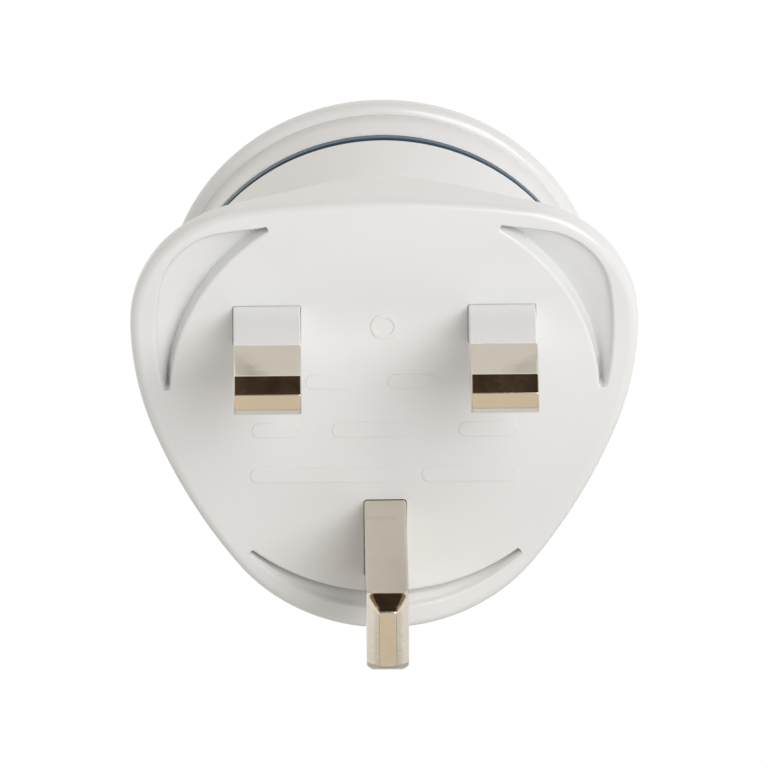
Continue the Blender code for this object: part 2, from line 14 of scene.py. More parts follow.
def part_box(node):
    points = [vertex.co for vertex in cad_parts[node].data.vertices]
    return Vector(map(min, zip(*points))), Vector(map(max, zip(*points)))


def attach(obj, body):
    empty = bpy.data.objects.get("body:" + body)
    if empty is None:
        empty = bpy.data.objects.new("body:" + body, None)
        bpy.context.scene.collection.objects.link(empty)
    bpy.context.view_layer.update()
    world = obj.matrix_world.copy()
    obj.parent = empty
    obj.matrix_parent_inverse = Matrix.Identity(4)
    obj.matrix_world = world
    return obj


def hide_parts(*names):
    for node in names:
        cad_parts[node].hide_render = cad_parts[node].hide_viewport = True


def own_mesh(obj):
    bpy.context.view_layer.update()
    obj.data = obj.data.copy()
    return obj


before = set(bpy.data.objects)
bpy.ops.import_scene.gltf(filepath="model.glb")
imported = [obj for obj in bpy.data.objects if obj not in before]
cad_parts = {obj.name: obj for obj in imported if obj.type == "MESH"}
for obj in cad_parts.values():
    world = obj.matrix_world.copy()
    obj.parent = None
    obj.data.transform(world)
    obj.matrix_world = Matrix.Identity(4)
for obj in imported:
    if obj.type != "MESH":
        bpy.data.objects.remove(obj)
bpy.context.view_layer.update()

MM = 0.001
BODY = "body"


def reach(node):
    """Lowest and highest corner of a CAD node, in millimetres."""
    low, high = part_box(node)
    return low / MM, high / MM


# Places read from the CAD model, and sizes that follow it
BARREL_SEAM_Y = reach("plug_base")[1].y
BARREL_R = 19.73
BORE_R = 17.9
SEAM_ROUND, BORE_ROUND, SEAM_RUN = 0.18, 0.15, 2.0
WALL_Y = 3.0
RING_LOW, RING_HIGH = reach("accent_ring")
RING_R, RING_CHAMFER = 19.6, 0.65
HOUSING_LOW, HOUSING_HIGH = reach("rear_housing")
DISC_LOW, DISC_HIGH = reach("socket_face")
LINE_LOW, LINE_HIGH = reach("line_pin")
SLEEVE_LOW, SLEEVE_HIGH = reach("line_pin_sleeve")
EARTH_LOW, EARTH_HIGH = reach("earth_pin")
PIN_X = (SLEEVE_LOW.x + SLEEVE_HIGH.x) / 2
PIN_Z = (SLEEVE_LOW.z + SLEEVE_HIGH.z) / 2
PIN_WIDTH = SLEEVE_HIGH.x - SLEEVE_LOW.x
PIN_HEIGHT = SLEEVE_HIGH.z - SLEEVE_LOW.z
EARTH_WIDTH = EARTH_HIGH.x - EARTH_LOW.x
EARTH_HEIGHT = 8.0
EARTH_Z = EARTH_LOW.z + EARTH_HEIGHT / 2
SPRING_LOW, SPRING_HIGH = reach("shutter_spring")
SHOULDER_Y = SLEEVE_HIGH.y
GAP, FIT = 0.15, 0.06
WAY_START_Y = 1.0
SLEEVE_FRONT_Y = -9.0
NECK_WIDTH, NECK_HEIGHT, NECK_FIT = 5.2, 3.1, 0.1
RIVET_X, RIVET_Z, EARTH_RIVET_Z = 10.2, 7.2, -15.4
RIVET_HOLE_R, RIVET_HOLE_Y = 0.9, 1.8
LIVE_CORNER, EARTH_CORNER, TIP_CORNER = 0.18, 0.28, 0.8
LIVE_EDGE, EARTH_EDGE = 0.14, 0.2
CHAMFER_LENGTH, CHAMFER_DEPTH = 1.7, 1.16
EARTH_CHAMFER_LENGTH, EARTH_CHAMFER_DEPTH = 1.95, 1.08

# Flange outline: tangent arcs from the top centre round to the bottom centre, as in the CAD model
FLANGE_TOP = 20.12
FLANGE_RADII = (104.0, 11.85, 31.0, 56.0)
FLANGE_TURNS = (7.6, 90.5, 111.0, 127.5)
RIM_THICKNESS = 2.2
RIM_FRONT_ROUND = 1.0
RIM_BACK_ROUND = 0.4
FLARE_R = 5.8
FACE_FLAT_R = 18.0

# Pockets in the flange, round the boss that carries the pins; the shares are of a narrow pocket's width
BOSS_R = 20.35
BOSS_DRAFT = 0.3
BOSS_ROUND = 0.45
CREASE_ROUND = 0.04
POCKET_DEPTH, POCKET_EDGE_DEPTH = 1.8, 0.524
POCKET_MIDDLE = 0.42
POCKET_EDGE_RUN = 0.3
RUN_SHARE, DRAFT_SHARE = 0.35, 0.2
FLOOR_ROUND, STEP_ROUND, EDGE_ROUND = 3.0, 0.5, 0.45
BESIDE, BESIDE_SHARE = 0.6, 0.8
CORNER_POCKET_RIM = 1.9
CORNER_POCKET_RADII = (FLANGE_RADII[0] - CORNER_POCKET_RIM, 7.0, 30.0)
CORNER_POCKET_TURNS = (8.75, 82.0)
CORNER_POCKET_END = radians(86.5)
BOTTOM_POCKET_R, BOTTOM_POCKET_Z = 17.73, -4.33
POCKET_TIP_WIDTH = 0.6

# Raised marks on the face, as (z, (start x, end x) of each bar)
MARK_ROWS = ((1.6, ((-7.5, -3.1), (0.3, 5.0))),
             (-3.4, ((-12.6, -7.8), (-5.0, 2.8), (7.0, 12.7))),
             (-8.1, ((-12.8, 1.2), (3.5, 12.8))))
MARK_HEIGHT, MARK_RISE, MARK_SINK, MARK_SOFT, MARK_STROKE = 1.5, 0.1, 0.05, 0.08, 0.4
RING_MARK_R, RING_MARK_Z = 1.3, 7.3

# Inside, rear housing and socket
SCREW_X, SCREW_Z = 9.0, -7.5
SCREW_BOSS_R, SCREW_BOSS_Y = 2.5, 5.9
PILOT_R, PILOT_Y, POST_R = 1.3, 2.5, 2.3
DISC_R, DISC_BACK_Y = 17.7, 21.3
SNAP_Y, SNAP_DEPTH, SNAP_FLAT, SNAP_RAMP = 12.1, 0.4, 0.2, 0.2
BEAD_R, BEAD_CENTRE_R = 1.1, 19.6
SKIRT_R, SKIRT_BORE_R = 17.6, 16.4
RECESS_R, SHELF_Y, END_FLAT_R = 18.0, 21.0, 18.7
BLADE_RADIUS, EARTH_BLADE_RADIUS = 7.92, 10.3
BLADE_TURN, BLADE_TILT = radians(60), radians(30)
SLOT_LENGTH, SLOT_WIDTH = 7.0, 2.2
SPRING_WIRE_R, SPRING_TURNS, SHUTTER_TRAVEL = 0.15, 5, 3.0
TURN_STEPS, WIRE_SIDES = 32, 12

# Round ends of the pockets, as shares of half an end's width, and how fine the meshes are
END_MARGIN, LEAST_END = 1.4, 0.25
END_SHARES = (0.0, 0.2, 0.4, 0.6, 0.75, 0.87, 0.95, 1.0, 1.03, 1.38)
LEAST_TURN = 0.02
COINCIDENT = 0.003
FACING_OUT, ON_FACE = -0.7, 1e-7
SECTIONS = 360
LATHE_STEPS = 256
PAST = 1.0


# ---- mesh helpers ------------------------------------------------------------------------------------

def grid_faces(bm, rows, closed):
    """Quads between successive rows of vertices; a row of one vertex makes a fan."""
    pairs = list(zip(rows, rows[1:]))
    if closed:
        pairs.append((rows[-1], rows[0]))
    for low, high in pairs:
        count = max(len(low), len(high))
        for i in range(count):
            corners = [low[i % len(low)], low[(i + 1) % len(low)]]
            corners += [high[(i + 1) % len(high)], high[i % len(high)]]
            bm.faces.new(list(dict.fromkeys(corners)))


def rounded(path, steps=5):
    """A path of (u, v, radius) corners, as (u, v) points with each corner that has a radius rounded off."""
    points = []
    last = len(path) - 1
    for i, (u, v, radius) in enumerate(path):
        here = Vector((u, v))
        if radius == 0 or i in (0, last):
            points.append(here)
            continue
        back = Vector(path[i - 1][:2]) - here
        ahead = Vector(path[i + 1][:2]) - here
        turn = pi - back.angle(ahead)
        room = 0.49 * min(back.length, ahead.length)
        cut = min(radius * tan(turn / 2), room)
        start, end = here + back.normalized() * cut, here + ahead.normalized() * cut
        for k in range(steps + 1):
            t = k / steps
            points.append(start * (1 - t) ** 2 + here * 2 * t * (1 - t) + end * t ** 2)
    return [tuple(point) for point in points]


def lathe(profile, centre=(0.0, 0.0), steps=LATHE_STEPS):
    """A profile of (radius, y) turned round the Y direction through centre (x, z)."""
    bm = bmesh.new()
    rows = []
    for radius, y in profile:
        turns = [2 * pi * i / steps for i in range(steps)]
        spots = [(centre[0] + radius * sin(a), y, centre[1] + radius * cos(a)) for a in turns]
        rows.append([bm.verts.new(spot) for spot in spots])
    grid_faces(bm, rows, closed=True)
    return bm


def rounded_rectangle(x, z, width, height, radius, steps=6):
    """Outline points (x, z) of a rectangle with rounded corners."""
    points = []
    for turn, sx, sz in ((0, 1, 1), (90, -1, 1), (180, -1, -1), (270, 1, -1)):
        centre = (x + sx * (width / 2 - radius), z + sz * (height / 2 - radius))
        for k in range(steps + 1):
            a = radians(turn + 90 * k / steps)
            points.append((centre[0] + radius * cos(a), centre[1] + radius * sin(a)))
    return points


def prism(outline, y0, y1):
    """A polygon of (x, z) points, extruded along Y."""
    bm = bmesh.new()
    rows = [[bm.verts.new((x, y, z)) for x, z in outline] for y in (y0, y1)]
    grid_faces(bm, rows, closed=False)
    bm.faces.new(rows[0])
    bm.faces.new(rows[1])
    return bm


def loft(rows):
    """A closed solid through rows of points of equal count."""
    bm = bmesh.new()
    made = [[bm.verts.new(spot) for spot in row] for row in rows]
    grid_faces(bm, made, closed=False)
    bm.faces.new(made[0])
    bm.faces.new(made[-1])
    return bm


def circle(x, z, radius, steps=48):
    turns = [2 * pi * i / steps for i in range(steps)]
    return [(x + radius * sin(a), z + radius * cos(a)) for a in turns]


def rectangle(x, z, width, height, tilt=0.0):
    along = Vector((sin(tilt), cos(tilt)))
    across = Vector((cos(tilt), -sin(tilt)))
    signs = ((-1, -1), (1, -1), (1, 1), (-1, 1))
    return [tuple(Vector((x, z)) + across * width / 2 * a + along * height / 2 * b) for a, b in signs]


def mesh_from(name, bm):
    bmesh.ops.recalc_face_normals(bm, faces=bm.faces)
    bmesh.ops.scale(bm, verts=bm.verts, vec=(MM, MM, MM))
    mesh = bpy.data.meshes.new(name)
    bm.to_mesh(mesh)
    bm.free()
    return mesh


def cut_mesh(obj, tools):
    """Applies (operation, mesh) Booleans to an object and leaves no helper behind."""
    helpers = []
    for operation, tool in tools:
        helper = bpy.data.objects.new("tool", mesh_from("tool", tool))
        bpy.context.collection.objects.link(helper)
        modifier = obj.modifiers.new("cut", "BOOLEAN")
        modifier.operation = operation
        modifier.solver = "EXACT"
        modifier.object = helper
        helpers.append(helper)
    apply_modifiers(obj)
    for helper in helpers:
        bpy.data.objects.remove(helper)


def apply_modifiers(obj):
    graph = bpy.context.evaluated_depsgraph_get()
    mesh = bpy.data.meshes.new_from_object(obj.evaluated_get(graph))
    obj.modifiers.clear()
    old = obj.data
    obj.data = mesh
    bpy.data.meshes.remove(old)


def flatten_face(mesh):
    """Makes the shading of the engagement face exactly flat, up to where its edges round over."""
    normals = [corner.vector.copy() for corner in mesh.corner_normals]
    for polygon in mesh.polygons:
        if polygon.normal.y > FACING_OUT:
            continue
        for loop in polygon.loop_indices:
            if abs(mesh.vertices[mesh.loops[loop].vertex_index].co.y) < ON_FACE:
                normals[loop] = Vector((0, -1, 0))
    mesh.normals_split_custom_set(normals)


def piece(name, bm, slot, finish, *nodes, tools=(), bevel=0.0, sharp=35.0):
    """A visible piece that rides on the body and stands for the CAD nodes named."""
    obj = bpy.data.objects.new(name, mesh_from(name, bm))
    bpy.context.collection.objects.link(obj)
    if tools:
        cut_mesh(obj, tools)
    if bevel:
        modifier = obj.modifiers.new("bevel", "BEVEL")
        modifier.width = bevel * MM
        modifier.segments = 3
        modifier.limit_method = "ANGLE"
        modifier.angle_limit = radians(40)
        apply_modifiers(obj)
    obj.data.materials.clear()
    obj.data.materials.append(finish)
    obj.data.shade_smooth()
    obj.data.set_sharp_from_angle(angle=radians(sharp))
    weighted = obj.modifiers.new("weighted", "WEIGHTED_NORMAL")
    weighted.keep_sharp = True
    apply_modifiers(obj)
    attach(obj, BODY)
    if nodes:
        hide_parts(*nodes)
    return obj


# ---- materials ---------------------------------------------------------------------------------------

WAVE_DEPTH, RIPPLE_DEPTH = 0.03, 0.01


class Shader:
    """A material's node tree, with short calls for the nodes that the finishes share."""

    def __init__(self, name):
        self.material = bpy.data.materials.new(name)
        self.material.use_nodes = True
        self.tree = self.material.node_tree
        self.surface = self.tree.nodes["Principled BSDF"]
        self.place = self.tree.nodes.new("ShaderNodeTexCoord").outputs["Object"]

    def link(self, output, node_input):
        self.tree.links.new(output, node_input)

    def noise(self, scale, detail=3.0, stretch=(1, 1, 1), rough=0.5):
        """A noise of scale features to the millimetre, as its factor output."""
        mapping = self.tree.nodes.new("ShaderNodeMapping")
        mapping.inputs["Scale"].default_value = stretch
        self.link(self.place, mapping.inputs["Vector"])
        noise = self.tree.nodes.new("ShaderNodeTexNoise")
        noise.inputs["Scale"].default_value = scale / MM
        noise.inputs["Detail"].default_value = detail
        noise.inputs["Roughness"].default_value = rough
        self.link(mapping.outputs["Vector"], noise.inputs["Vector"])
        return noise.outputs["Fac"]

    def ranged(self, value, low, high, start=0.3, end=0.7):
        """value, mapped from start..end to low..high."""
        node = self.tree.nodes.new("ShaderNodeMapRange")
        node.inputs["From Min"].default_value = start
        node.inputs["From Max"].default_value = end
        node.inputs["To Min"].default_value = low
        node.inputs["To Max"].default_value = high
        self.link(value, node.inputs["Value"])
        return node.outputs["Result"]

    def mixed(self, factor, first, second):
        node = self.tree.nodes.new("ShaderNodeMix")
        node.data_type = "RGBA"
        node.inputs["A"].default_value = (*first, 1)
        node.inputs["B"].default_value = (*second, 1)
        self.link(factor, node.inputs["Factor"])
        return node.outputs["Result"]

    def colour(self, value):
        self.link(value, self.surface.inputs["Base Color"])

    def roughness(self, value):
        self.link(value, self.surface.inputs["Roughness"])

    def bump(self, height, strength, distance):
        """Bump of the given depth in millimetres, added to any made before it."""
        node = self.tree.nodes.new("ShaderNodeBump")
        node.inputs["Strength"].default_value = strength
        node.inputs["Distance"].default_value = distance * MM
        self.link(height, node.inputs["Height"])
        before = self.surface.inputs["Normal"].links
        if before:
            self.link(before[0].from_socket, node.inputs["Normal"])
        self.link(node.outputs["Normal"], self.surface.inputs["Normal"])


def moulded(name, light, dark, rough_low, rough_high, grain=1.2, depth=0.004):
    """Moulded plastic: faint cloudiness, a satin that varies, and a fine orange-peel skin."""
    shader = Shader(name)
    shader.colour(shader.mixed(shader.ranged(shader.noise(0.09), 0, 1), light, dark))
    shader.roughness(shader.ranged(shader.noise(0.35, 4), rough_low, rough_high))
    shader.bump(shader.noise(grain, 2), 0.35, depth)
    shader.surface.inputs["IOR"].default_value = 1.5
    return shader.material


def plated(name, light, dark, rough_low, rough_high, along=(1, 0.12, 1)):
    """Plated metal: drawn lines along the pin, faint mottling and fine handling marks."""
    shader = Shader(name)
    shader.colour(shader.mixed(shader.ranged(shader.noise(0.3, 4), 0, 1), light, dark))
    shader.roughness(shader.ranged(shader.noise(0.7, 4, along), rough_low, rough_high))
    shader.bump(shader.noise(0.8, 2), 0.5, WAVE_DEPTH)
    shader.bump(shader.noise(2.6, 3), 0.5, RIPPLE_DEPTH)
    shader.bump(shader.noise(5.0, 3, along), 0.3, 0.0012)
    shader.surface.inputs["Metallic"].default_value = 1.0
    return shader.material


SHELL = moulded("shell_white", (0.79, 0.79, 0.785), (0.78, 0.78, 0.773), 0.16, 0.24)
SLEEVE = moulded("sleeve_white", (0.88, 0.89, 0.90), (0.87, 0.88, 0.89), 0.29, 0.38)
ACCENT = moulded("accent_blue", (0.025, 0.07, 0.115), (0.02, 0.06, 0.10), 0.2, 0.265)
CARRIER = moulded("carrier_grey", (0.42, 0.43, 0.44), (0.38, 0.39, 0.40), 0.4, 0.55, depth=0.01)
IVORY = moulded("shutter_ivory", (0.62, 0.60, 0.55), (0.58, 0.56, 0.51), 0.3, 0.45, depth=0.008)
NICKEL = plated("nickel_plate", (0.72, 0.665, 0.57), (0.69, 0.635, 0.54), 0.11, 0.18)
BRONZE = plated("contact_bronze", (0.74, 0.50, 0.27), (0.64, 0.41, 0.21), 0.22, 0.38, (0.2, 1, 1))
STEEL = plated("zinc_steel", (0.63, 0.64, 0.66), (0.54, 0.55, 0.57), 0.2, 0.4, (1, 1, 1))


# ---- flange and barrel -------------------------------------------------------------------------------

def arc_chain(top, radii, turns):
    """(centre, radius, first turn, last turn) of tangent arcs, the first centred under (0, top)."""
    ends = [0.0, *(radians(turn) for turn in turns), pi]
    centre = Vector((0, top - radii[0]))
    arcs = [(centre, radii[0], ends[0], ends[1])]
    for i in range(1, len(radii)):
        centre = centre + Vector((sin(ends[i]), cos(ends[i]))) * (radii[i - 1] - radii[i])
        arcs.append((centre, radii[i], ends[i], ends[i + 1]))
    return arcs


def flange_arcs():
    """The flange's outline, closed by an arc that is centred on the plane of symmetry."""
    arcs = arc_chain(FLANGE_TOP, FLANGE_RADII, FLANGE_TURNS)
    centre, radius, _, turn = arcs[-1]
    reach_back = -centre.x / sin(turn)
    centre = centre + Vector((sin(turn), cos(turn))) * reach_back
    return [*arcs, (centre, radius - reach_back, turn, pi)]


FLANGE_ARCS = flange_arcs()
CORNER_POCKET_ARCS = arc_chain(FLANGE_TOP - CORNER_POCKET_RIM, CORNER_POCKET_RADII, CORNER_POCKET_TURNS)


def ray_to_circle(phi, centre, radius):
    """Distance from the barrel's axis to a circle, in the direction phi; None where it misses."""
    along = sin(phi) * centre.x + cos(phi) * centre.y
    inside = along * along - centre.length_squared + radius * radius
    return along + sqrt(inside) if inside > 0 else None


def outline_radius(phi, arcs):
    """Distance from the barrel's axis to a chain of arcs, in the direction phi."""
    for centre, radius, first, last in arcs:
        distance = ray_to_circle(phi, centre, radius)
        if distance is None:
            continue
        turn = atan2(distance * sin(phi) - centre.x, distance * cos(phi) - centre.y) % (2 * pi)
        if first <= turn <= last:
            return distance
    # Rounding can leave the chain's first or last direction to no arc.
    centre, radius = arcs[0][:2] if phi < 1 else arcs[-1][:2]
    return ray_to_circle(phi, centre, radius)


def rim_radius(phi):
    return outline_radius(abs(phi), FLANGE_ARCS)


def pocket_radius(phi):
    """Outer edge of the pocket in the direction phi, or None on the lands between the pockets."""
    phi = abs(phi)
    if phi < CORNER_POCKET_END:
        edge = outline_radius(phi, CORNER_POCKET_ARCS)
    else:
        edge = ray_to_circle(phi, Vector((0, BOTTOM_POCKET_Z)), BOTTOM_POCKET_R)
    return edge if edge > BOSS_R + POCKET_TIP_WIDTH else None


def pocket_ends():
    """(direction in degrees, width) of each end of the pockets on one side."""
    fine = [i * LEAST_TURN for i in range(round(180 / LEAST_TURN) + 1)]
    ends = []
    for low, high in zip(fine, fine[1:]):
        edges = pocket_radius(radians(low)), pocket_radius(radians(high))
        if (edges[0] is None) != (edges[1] is None):
            ends.append(((low + high) / 2, (edges[0] or edges[1]) - BOSS_R))
    return ends


ENDS = pocket_ends()


def back_y(radius):
    """Y of the flange's back, which flares into the barrel, at a distance from the axis."""
    short = max(0.0, FLARE_R - (radius - BARREL_R))
    return RIM_THICKNESS + FLARE_R - sqrt(FLARE_R ** 2 - short ** 2)


def pocket_path(phi):
    """The pocket's section from the boss to the rim as (radius, y) points, or None past its round ends."""
    inner, edge, fullness = BOSS_R, pocket_radius(phi), 1.0
    if not edge:
        end, width = min(ENDS, key=lambda spot: abs(abs(phi) - radians(spot[0])))
        past = abs(abs(phi) - radians(end)) * BOSS_R / (width / 2)
        if past > END_MARGIN:
            return None
        fullness = sqrt(max(0.0, 1 - past ** 2))
        shrink = width / 2 * (1 - max(fullness, LEAST_END))
        inner, edge = BOSS_R + shrink, BOSS_R + width - shrink
    depth, shallow = POCKET_DEPTH * fullness, POCKET_EDGE_DEPTH * fullness
    middle = shallow + (depth - shallow) * POCKET_MIDDLE
    width = edge - inner
    step = min(POCKET_EDGE_RUN, width * RUN_SHARE)
    draft = min(BOSS_DRAFT, width * DRAFT_SHARE)
    room = rim_radius(phi) - RIM_FRONT_ROUND - edge
    path = [(inner - BESIDE, 0, 0), (inner, 0, BOSS_ROUND), (inner + draft, depth, CREASE_ROUND),
            (inner + width / 2, middle, FLOOR_ROUND), (edge - step, shallow, STEP_ROUND),
            (edge, 0, EDGE_ROUND), (edge + BESIDE_SHARE * min(BESIDE, room), 0, 0)]
    return rounded(path, 6)


PATH_COUNT = len(pocket_path(CORNER_POCKET_END / 2))


def face_path(phi):
    """Points across the face in the direction phi, from its flat middle to the front edge's round."""
    flat = rim_radius(phi) - RIM_FRONT_ROUND
    pocket = pocket_path(phi)
    if pocket is None:
        span = flat - FACE_FLAT_R
        return [(FACE_FLAT_R + span * (k + 1) / (PATH_COUNT + 1), 0.0) for k in range(PATH_COUNT)]
    return pocket


def base_section(phi):
    """The base's section in the direction phi, from the engagement face round to the bore's floor."""
    rim = rim_radius(phi)
    section = [(FACE_FLAT_R, 0.0), *face_path(phi), (rim - RIM_FRONT_ROUND, 0.0)]
    for k in range(1, 9):
        a = pi / 2 * k / 8
        section.append((rim - RIM_FRONT_ROUND * (1 - sin(a)), RIM_FRONT_ROUND * (1 - cos(a))))
    back = min(RIM_BACK_ROUND, 0.3 * (rim - BARREL_R))
    corner_y = back_y(rim - back)
    for k in range(6):
        a = pi / 2 * k / 5
        section.append((rim - back * (1 - cos(a)), corner_y - back * (1 - sin(a))))
    sweep = acos(max(0.0, min(1.0, (BARREL_R + FLARE_R - rim + back) / FLARE_R)))
    for k in range(1, 11):
        turn = sweep * (1 - k / 10)
        section.append((BARREL_R + FLARE_R * (1 - cos(turn)), RIM_THICKNESS + FLARE_R * (1 - sin(turn))))
    groove = SNAP_FLAT + SNAP_DEPTH
    section += rounded([(BARREL_R, BARREL_SEAM_Y - SEAM_RUN, 0), (BARREL_R, BARREL_SEAM_Y, SEAM_ROUND),
                        (BORE_R, BARREL_SEAM_Y, BORE_ROUND), (BORE_R, SNAP_Y + groove + GAP, 0)], 4)
    section += [(BORE_R + SNAP_DEPTH, SNAP_Y + groove), (BORE_R + SNAP_DEPTH, SNAP_Y - groove)]
    section += [(BORE_R, SNAP_Y - groove - GAP), (BORE_R, WALL_Y)]
    return section


def section_turns():
    """Directions of the sections, in radians, closer together at the pockets' ends."""
    turns = {180 * i / (SECTIONS // 2) for i in range(SECTIONS // 2 + 1)}
    for end, width in ENDS:
        unit = degrees(width / 2 / BOSS_R)
        for share in END_SHARES:
            turns |= {end + unit * share, end - unit * share}
    half = sorted(turns)
    kept = [half[0]]
    for turn in half[1:]:
        if turn - kept[-1] > LEAST_TURN:
            kept.append(turn)
    return [radians(turn) for turn in kept] + [-radians(turn) for turn in kept[-2:0:-1]]


def make_base():
    bm = bmesh.new()
    turns = section_turns()
    sections = [base_section(phi) for phi in turns]
    rows = []
    for i in range(len(sections[0])):
        rows.append([bm.verts.new((section[i][0] * sin(phi), section[i][1], section[i][0] * cos(phi)))
                     for phi, section in zip(turns, sections)])
    grid_faces(bm, rows, closed=False)
    bm.faces.new(rows[0])
    bm.faces.new(rows[-1])
    bmesh.ops.remove_doubles(bm, verts=bm.verts, dist=COINCIDENT)
    tools = [("UNION", prism(circle(side * SCREW_X, SCREW_Z, SCREW_BOSS_R), WALL_Y - PAST, SCREW_BOSS_Y))
             for side in (-1, 1)]
    tools += [("DIFFERENCE", prism(circle(side * SCREW_X, SCREW_Z, PILOT_R), PILOT_Y, SCREW_BOSS_Y + PAST))
              for side in (-1, 1)]
    shoulder = SHOULDER_Y + GAP
    for side in (-1, 1):
        seat = rounded_rectangle(side * PIN_X, PIN_Z, PIN_WIDTH + 2 * FIT, PIN_HEIGHT + 2 * FIT,
                                 LIVE_CORNER + FIT)
        way = rectangle(side * PIN_X, PIN_Z, NECK_WIDTH + 2 * GAP, NECK_HEIGHT + 2 * GAP)
        tools += [("DIFFERENCE", prism(seat, -PAST, shoulder)),
                  ("DIFFERENCE", prism(way, WAY_START_Y, WALL_Y + PAST))]
    seat = rounded_rectangle(0, EARTH_Z, EARTH_WIDTH + 2 * FIT, EARTH_HEIGHT + 2 * FIT, EARTH_CORNER + FIT)
    way = rectangle(0, EARTH_RIVET_Z, EARTH_WIDTH + 2 * GAP, NECK_HEIGHT + 2 * GAP)
    tools += [("DIFFERENCE", prism(seat, -PAST, shoulder)),
              ("DIFFERENCE", prism(way, WAY_START_Y, WALL_Y + PAST))]
    base = piece("base_shell", bm, "shell_white", SHELL, "plug_base", tools=tools)
    flatten_face(base.data)


# ---- pins --------------------------------------------------------------------------------------------

def pin_rows(x, z, stations):
    """Rounded-rectangle rows from (y, width, height, corner radius) stations."""
    rows = []
    for y, width, height, corner in stations:
        rows.append([(u, y, v) for u, v in rounded_rectangle(x, z, width, height, corner)])
    return rows


def tip_stations(tip_y, width, height, edge, corner):
    """Stations of a tip's slightly rounded front edge."""
    made = []
    for k in range(4):
        a = pi / 2 * k / 3
        inset = 2 * edge * (1 - sin(a))
        made.append((tip_y + edge * (1 - cos(a)), width - inset, height - inset, corner - inset / 4))
    return made


def make_live_pins():
    """Line and neutral pins with their sleeves; the small steps between stations soften the edges."""
    chamfer_y = LINE_LOW.y + CHAMFER_LENGTH
    metal = tip_stations(LINE_LOW.y, PIN_WIDTH, PIN_HEIGHT - 2 * CHAMFER_DEPTH, LIVE_EDGE, LIVE_CORNER)
    metal += [(chamfer_y - 0.06, PIN_WIDTH, PIN_HEIGHT - 0.08, LIVE_CORNER),
              (chamfer_y + 0.06, PIN_WIDTH, PIN_HEIGHT, LIVE_CORNER),
              (SLEEVE_FRONT_Y - 0.04, PIN_WIDTH, PIN_HEIGHT, LIVE_CORNER),
              (SLEEVE_FRONT_Y, PIN_WIDTH - 0.08, PIN_HEIGHT - 0.08, LIVE_CORNER - 0.02),
              (SLEEVE_FRONT_Y + 0.001, NECK_WIDTH, NECK_HEIGHT, LIVE_CORNER),
              (LINE_HIGH.y, NECK_WIDTH, NECK_HEIGHT, LIVE_CORNER)]
    front_y = SLEEVE_FRONT_Y + 0.03
    tube = [(front_y, PIN_WIDTH - 0.14, PIN_HEIGHT - 0.14, LIVE_CORNER - 0.04),
            (front_y + 0.03, PIN_WIDTH - 0.05, PIN_HEIGHT - 0.05, LIVE_CORNER),
            (front_y + 0.09, PIN_WIDTH, PIN_HEIGHT, LIVE_CORNER),
            (SHOULDER_Y, PIN_WIDTH, PIN_HEIGHT, LIVE_CORNER)]
    for name, side in (("line", 1), ("neutral", -1)):
        x = side * PIN_X
        hole = prism(circle(side * RIVET_X, RIVET_Z, RIVET_HOLE_R), RIVET_HOLE_Y, LINE_HIGH.y + PAST)
        piece(f"{name}_pin_metal", loft(pin_rows(x, PIN_Z, metal)), "nickel_plate", NICKEL, f"{name}_pin",
              tools=[("DIFFERENCE", hole)])
        bore = prism(rounded_rectangle(x, PIN_Z, NECK_WIDTH + NECK_FIT, NECK_HEIGHT + NECK_FIT, LIVE_CORNER),
                     front_y - PAST, SHOULDER_Y + PAST)
        piece(f"{name}_sleeve", loft(pin_rows(x, PIN_Z, tube)), "sleeve_white", SLEEVE, f"{name}_pin_sleeve",
              tools=[("DIFFERENCE", bore)])


def make_earth_pin():
    """The earth pin, whose corners round off more towards its chamfered tip."""
    tip_y = EARTH_LOW.y
    chamfer_y = tip_y + EARTH_CHAMFER_LENGTH
    depth = 2 * EARTH_CHAMFER_DEPTH
    stations = tip_stations(tip_y, EARTH_WIDTH - depth, EARTH_HEIGHT - depth, EARTH_EDGE, EARTH_CORNER)
    for share in (0.25, 0.5, 0.75, 0.9):
        width, height = EARTH_WIDTH - depth * (1 - share), EARTH_HEIGHT - depth * (1 - share)
        corner = EARTH_CORNER + (TIP_CORNER - EARTH_CORNER) * share
        stations.append((tip_y + EARTH_CHAMFER_LENGTH * share, width, height, corner))
    stations += [(chamfer_y - 0.04, EARTH_WIDTH - 0.05, EARTH_HEIGHT - 0.05, TIP_CORNER),
                 (chamfer_y + 0.06, EARTH_WIDTH, EARTH_HEIGHT, TIP_CORNER),
                 (chamfer_y + 0.6, EARTH_WIDTH, EARTH_HEIGHT, EARTH_CORNER),
                 (SHOULDER_Y, EARTH_WIDTH, EARTH_HEIGHT, EARTH_CORNER)]
    tail = prism(rectangle(0, EARTH_RIVET_Z, EARTH_WIDTH, NECK_HEIGHT), 0, EARTH_HIGH.y)
    hole = prism(circle(0, EARTH_RIVET_Z, RIVET_HOLE_R), RIVET_HOLE_Y, EARTH_HIGH.y + PAST)
    piece("earth_pin_metal", loft(pin_rows(0, EARTH_Z, stations)), "nickel_plate", NICKEL, "earth_pin",
          tools=[("UNION", tail), ("DIFFERENCE", hole)])


# ---- raised marks on the face ------------------------------------------------------------------------

def raised_bar(start, end, z):
    """A bar with round ends and a softened top edge, standing on the face."""
    x, length = (start + end) / 2, end - start
    levels = [(MARK_SINK, 0.0), (0.5 * MARK_SOFT - MARK_RISE, 0.0), (-MARK_RISE, MARK_SOFT)]
    return loft([[(u, y, v) for u, v in rounded_rectangle(
        x, z, length - 2 * inset, MARK_HEIGHT - 2 * inset, MARK_HEIGHT / 2 - inset)] for y, inset in levels])


